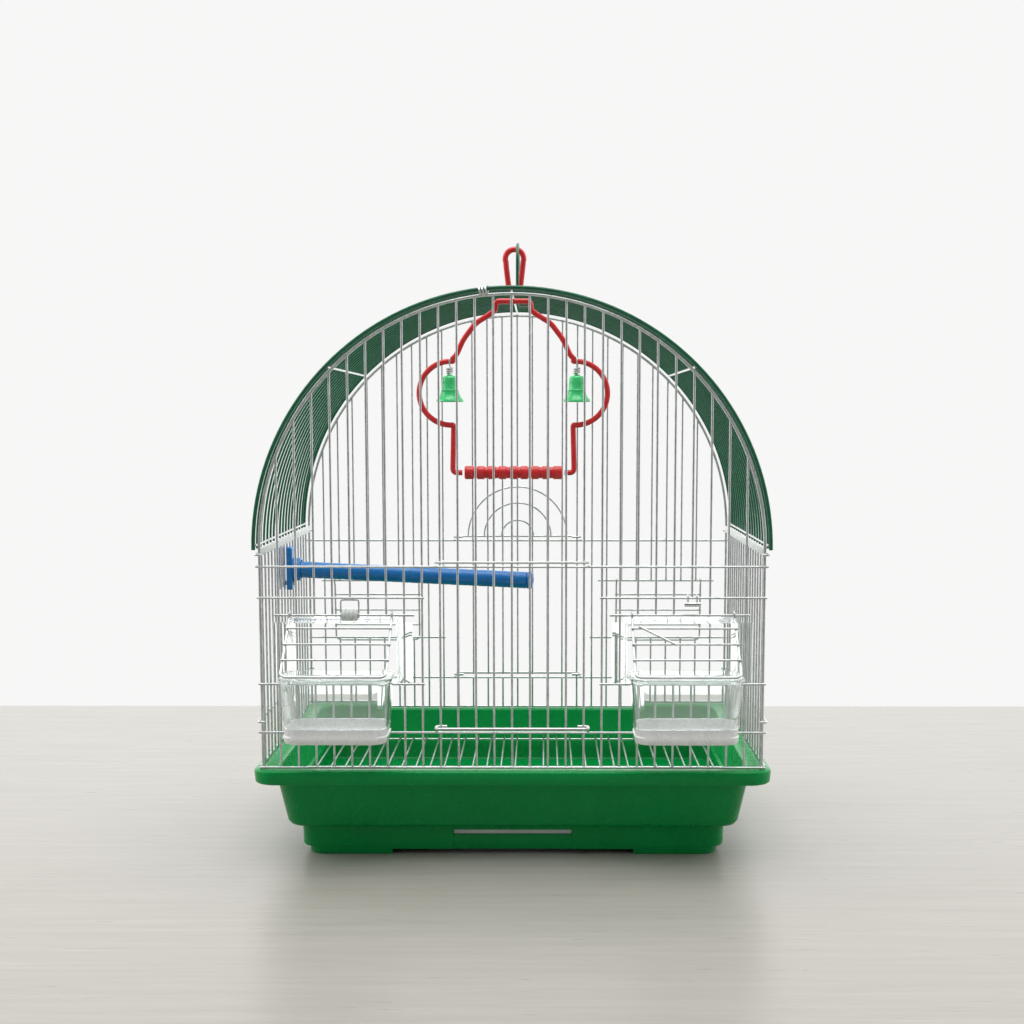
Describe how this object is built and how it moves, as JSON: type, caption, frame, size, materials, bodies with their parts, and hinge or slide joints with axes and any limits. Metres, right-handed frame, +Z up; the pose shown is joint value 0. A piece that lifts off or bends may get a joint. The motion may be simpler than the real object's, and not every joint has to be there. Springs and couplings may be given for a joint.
{
  "type": "bird cage",
  "caption": "Arched wire bird cage on a moulded tray base, with sliding doors, gated feeder cups, a perch and a swing with bells.",
  "frame": {"origin": "centre of the overall bounding box on the surface the tray stands on", "axes": "+Z up; -Y is the front with the feeder cups and main door; +X to the right seen from the front"},
  "size_m": [0.351, 0.256, 0.4239],
  "materials": {
    "zinc_wire": "bright zinc-plated round wire, satin",
    "green_coated_wire": "dark green plastic-coated wire, gloss",
    "tray_plastic": "moulded green plastic, glossy",
    "clear_plastic": "clear moulded plastic",
    "red_plastic": "moulded red plastic, satin gloss",
    "blue_plastic": "moulded blue plastic, satin gloss",
    "bell_plastic": "bright green plastic, gloss",
    "white_plastic": "white plastic"
  },
  "bodies": {
    "base": {"base_tray": "tray_plastic"},
    "grate": {"floor_grate": "zinc_wire"},
    "cage": {"front_panel": "zinc_wire", "rear_panel": "zinc_wire", "left_side_panel": "zinc_wire", "right_side_panel": "zinc_wire", "roof_left_lower": "green_coated_wire", "roof_left_upper": "green_coated_wire", "roof_right_upper": "green_coated_wire", "roof_right_lower": "green_coated_wire", "carry_handle": "green_coated_wire", "hanging_loop": "red_plastic", "roof_clip": "zinc_wire", "left_feeder_hood": "clear_plastic", "right_feeder_hood": "clear_plastic", "left_gate_roller": "white_plastic", "right_gate_clip": "zinc_wire", "perch_clamp_inner": "blue_plastic", "perch_clamp_outer": "blue_plastic", "perch_clamp_screw": "zinc_wire"},
    "front_door": {"front_door": "zinc_wire"},
    "rear_door": {"rear_door": "zinc_wire"},
    "left_gate": {"left_feeder_gate": "zinc_wire"},
    "right_gate": {"right_feeder_gate": "zinc_wire"},
    "left_rear_flap": {"left_rear_gate": "zinc_wire"},
    "right_rear_flap": {"right_rear_gate": "zinc_wire"},
    "left_cup": {"left_feeder_cup": "clear_plastic"},
    "right_cup": {"right_feeder_cup": "clear_plastic"},
    "swing": {"swing_frame": "red_plastic"},
    "swing_roller": {"swing_perch": "red_plastic"},
    "left_bell": {"left_bell_shell": "bell_plastic", "left_bell_hanger": "zinc_wire"},
    "right_bell": {"right_bell_shell": "bell_plastic", "right_bell_hanger": "zinc_wire"},
    "left_clapper": {"left_bell_clapper": "zinc_wire"},
    "right_clapper": {"right_bell_clapper": "zinc_wire"},
    "side_perch": {"perch_rod": "blue_plastic", "perch_end_cap": "blue_plastic"}
  },
  "joints": [
    {"name": "cage_lift", "type": "slide", "parent": "base", "child": "cage", "axis": [0, 0, 1], "range_m": [0, 0.1]},
    {"name": "grate_lift", "type": "slide", "parent": "base", "child": "grate", "axis": [0, 0, 1], "range_m": [0, 0.06]},
    {"name": "front_door_slide", "type": "slide", "parent": "cage", "child": "front_door", "axis": [0, 0, 1], "range_m": [0, 0.098]},
    {"name": "rear_door_slide", "type": "slide", "parent": "cage", "child": "rear_door", "axis": [0, 0, 1], "range_m": [0, 0.098]},
    {"name": "left_gate_hinge", "type": "hinge", "parent": "cage", "child": "left_gate", "pos_m": [-0.114, -0.0857, 0.1678], "axis": [-1, 0, 0], "range_deg": [0, 110]},
    {"name": "right_gate_hinge", "type": "hinge", "parent": "cage", "child": "right_gate", "pos_m": [0.114, -0.0857, 0.1678], "axis": [-1, 0, 0], "range_deg": [0, 110]},
    {"name": "left_rear_flap_hinge", "type": "hinge", "parent": "cage", "child": "left_rear_flap", "pos_m": [-0.114, 0.1217, 0.1678], "axis": [1, 0, 0], "range_deg": [0, 110]},
    {"name": "right_rear_flap_hinge", "type": "hinge", "parent": "cage", "child": "right_rear_flap", "pos_m": [0.114, 0.1217, 0.1678], "axis": [1, 0, 0], "range_deg": [0, 110]},
    {"name": "left_cup_slide", "type": "slide", "parent": "cage", "child": "left_cup", "axis": [0, -1, 0], "range_m": [0, 0.045]},
    {"name": "right_cup_slide", "type": "slide", "parent": "cage", "child": "right_cup", "axis": [0, -1, 0], "range_m": [0, 0.045]},
    {"name": "swing_hinge", "type": "hinge", "parent": "cage", "child": "swing", "pos_m": [0, -0.03, 0.3847], "axis": [1, 0, 0], "range_deg": [-18, 18]},
    {"name": "swing_roller_spin", "type": "hinge", "parent": "swing", "child": "swing_roller", "pos_m": [0, -0.03, 0.2607], "axis": [1, 0, 0], "continuous": true},
    {"name": "left_bell_hinge", "type": "hinge", "parent": "swing", "child": "left_bell", "pos_m": [-0.044, -0.03, 0.3379], "axis": [1, 0, 0], "range_deg": [-20, 20]},
    {"name": "right_bell_hinge", "type": "hinge", "parent": "swing", "child": "right_bell", "pos_m": [0.044, -0.03, 0.3379], "axis": [1, 0, 0], "range_deg": [-20, 20]},
    {"name": "left_clapper_hinge", "type": "hinge", "parent": "left_bell", "child": "left_clapper", "pos_m": [-0.044, -0.03, 0.3212], "axis": [1, 0, 0], "range_deg": [-15, 15]},
    {"name": "right_clapper_hinge", "type": "hinge", "parent": "right_bell", "child": "right_clapper", "pos_m": [0.044, -0.03, 0.3212], "axis": [1, 0, 0], "range_deg": [-15, 15]},
    {"name": "side_perch_turn", "type": "hinge", "parent": "cage", "child": "side_perch", "pos_m": [-0.162, 0.018, 0.1878], "axis": [0.993, -0.1132, -0.0339], "range_deg": [-90, 90]}
  ]
}
